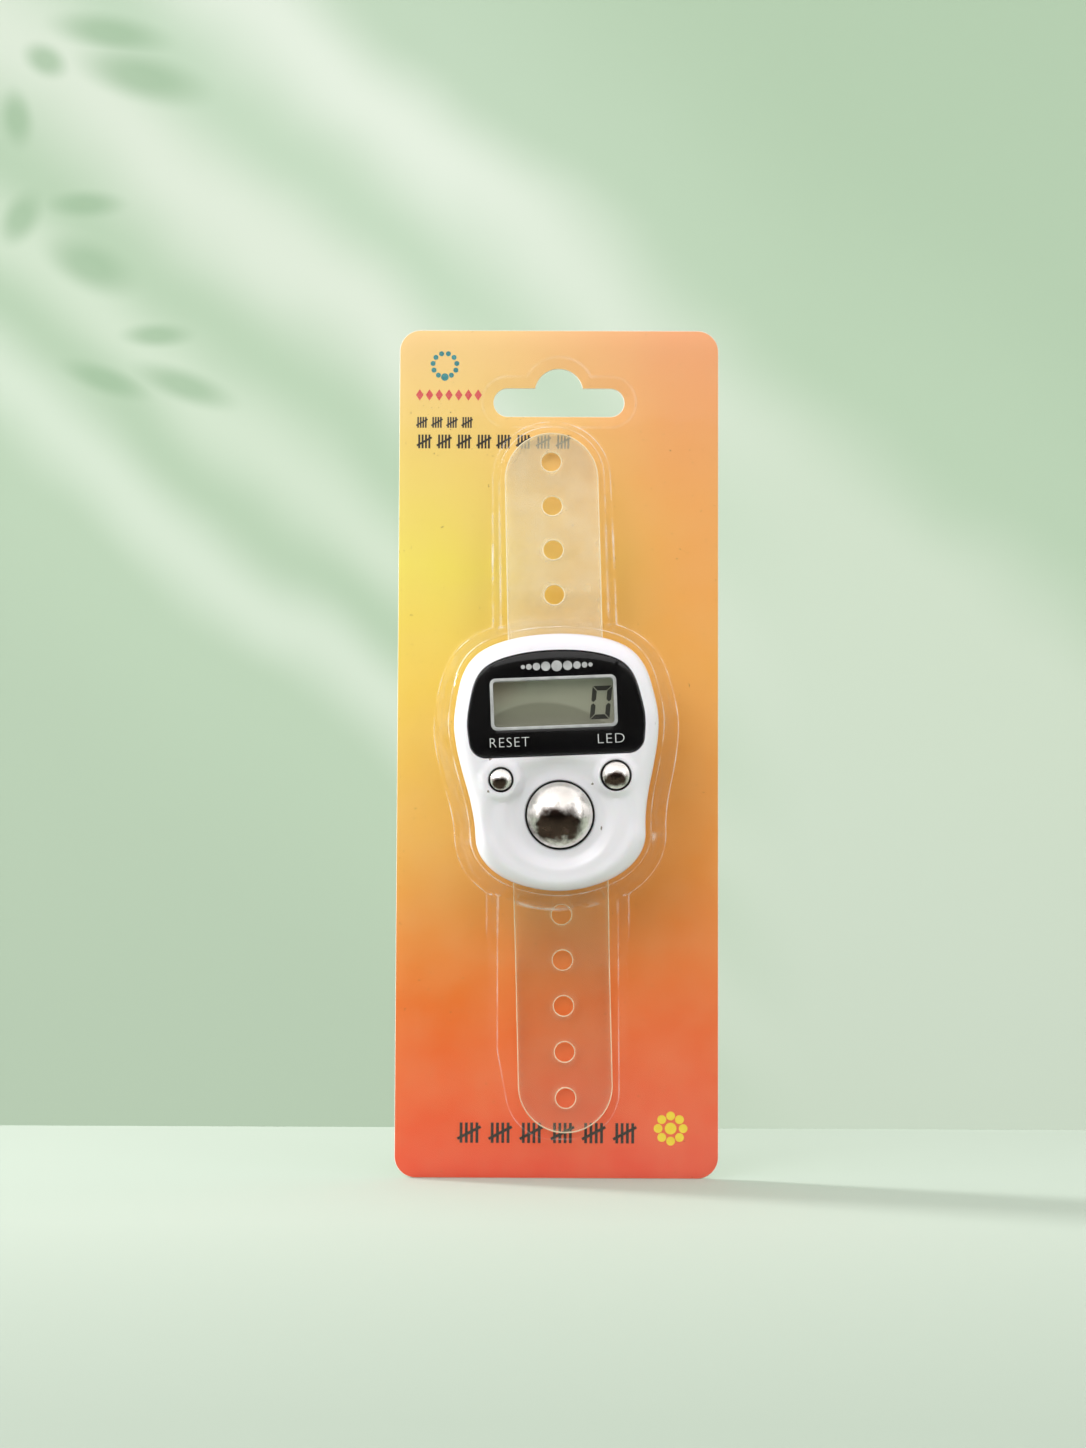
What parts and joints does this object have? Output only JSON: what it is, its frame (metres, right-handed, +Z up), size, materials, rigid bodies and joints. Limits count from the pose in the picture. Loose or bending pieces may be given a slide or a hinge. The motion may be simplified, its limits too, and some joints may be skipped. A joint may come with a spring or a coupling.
{
  "type": "digital finger counter on a hanging blister card",
  "caption": "Finger-worn digital prayer counter with a display, chromed buttons and a clear holed strap, held on an upright hanging card under a clear formed film.",
  "frame": {"origin": "top of the crown of the hanging slot, in the middle of the card's thickness", "axes": "+X across the card to the viewer's right, +Y from the viewer into the card, so the counter faces -Y, +Z up the card"},
  "size_m": [0.053, 0.0193, 0.1401],
  "materials": {
    "card_print": "printed yellow to red fade under film, satin",
    "clear_film": "clear formed film, high gloss",
    "strap_pvc": "clear soft plastic, faint frost",
    "white_abs": "white moulded shell, gloss",
    "black_panel": "clear panel printed black from behind, high gloss",
    "board": "green solder mask",
    "frame_plastic": "white moulded, matt",
    "reflector_foil": "satin foil",
    "display_glass": "grey-green display glass",
    "polarizer_film": "grey-green film",
    "zebra_rubber": "striped conductive rubber",
    "epoxy": "black potting",
    "chip_ceramic": "fired, matt",
    "led_resin": "cast resin",
    "key_rubber": "moulded grey rubber",
    "cell_steel": "nickel-plated",
    "contact_metal": "stamped strip",
    "screw_steel": "plain steel",
    "chromed_plastic": "bright chrome plate on plastic"
  },
  "bodies": {
    "pack": {"backing_card": "card_print", "blister": "clear_film", "strap": "strap_pvc", "front_shell": "white_abs", "rear_shell": "white_abs", "display_lens": "black_panel", "battery_door": "white_abs", "circuit_board": "board", "lcd_frame": "frame_plastic", "rear_reflector": "reflector_foil", "lcd_glass": "display_glass", "front_polarizer": "polarizer_film", "zebra_strip": "zebra_rubber", "chip_blob": "epoxy", "clock_resistor": "chip_ceramic", "led_resistor": "chip_ceramic", "supply_capacitor": "chip_ceramic", "display_led_left": "led_resin", "display_led_right": "led_resin", "count_cup": "key_rubber", "reset_cup": "key_rubber", "led_cup": "key_rubber", "button_cell_left": "cell_steel", "button_cell_right": "cell_steel", "battery_minus_contact": "contact_metal", "battery_plus_contact": "contact_metal", "battery_bridge": "contact_metal", "battery_door_screw": "screw_steel", "shell_screw_top_left": "screw_steel", "shell_screw_top_right": "screw_steel", "shell_screw_low_left": "screw_steel", "shell_screw_low_right": "screw_steel"},
    "count_key": {"count_button": "chromed_plastic"},
    "reset_key": {"reset_button": "chromed_plastic"},
    "led_key": {"led_button": "chromed_plastic"}
  },
  "joints": [
    {"name": "count_press", "type": "slide", "parent": "pack", "child": "count_key", "axis": [0, 1, 0], "range_m": [0, 0.0008], "stiffness_N_per_m": 400, "springref_m": -0.001, "deforming": ["count_cup"]},
    {"name": "reset_press", "type": "slide", "parent": "pack", "child": "reset_key", "axis": [0, 1, 0], "range_m": [0, 0.0005], "stiffness_N_per_m": 300, "springref_m": -0.001, "deforming": ["reset_cup"]},
    {"name": "led_press", "type": "slide", "parent": "pack", "child": "led_key", "axis": [0, 1, 0], "range_m": [0, 0.0005], "stiffness_N_per_m": 300, "springref_m": -0.001, "deforming": ["led_cup"]}
  ]
}
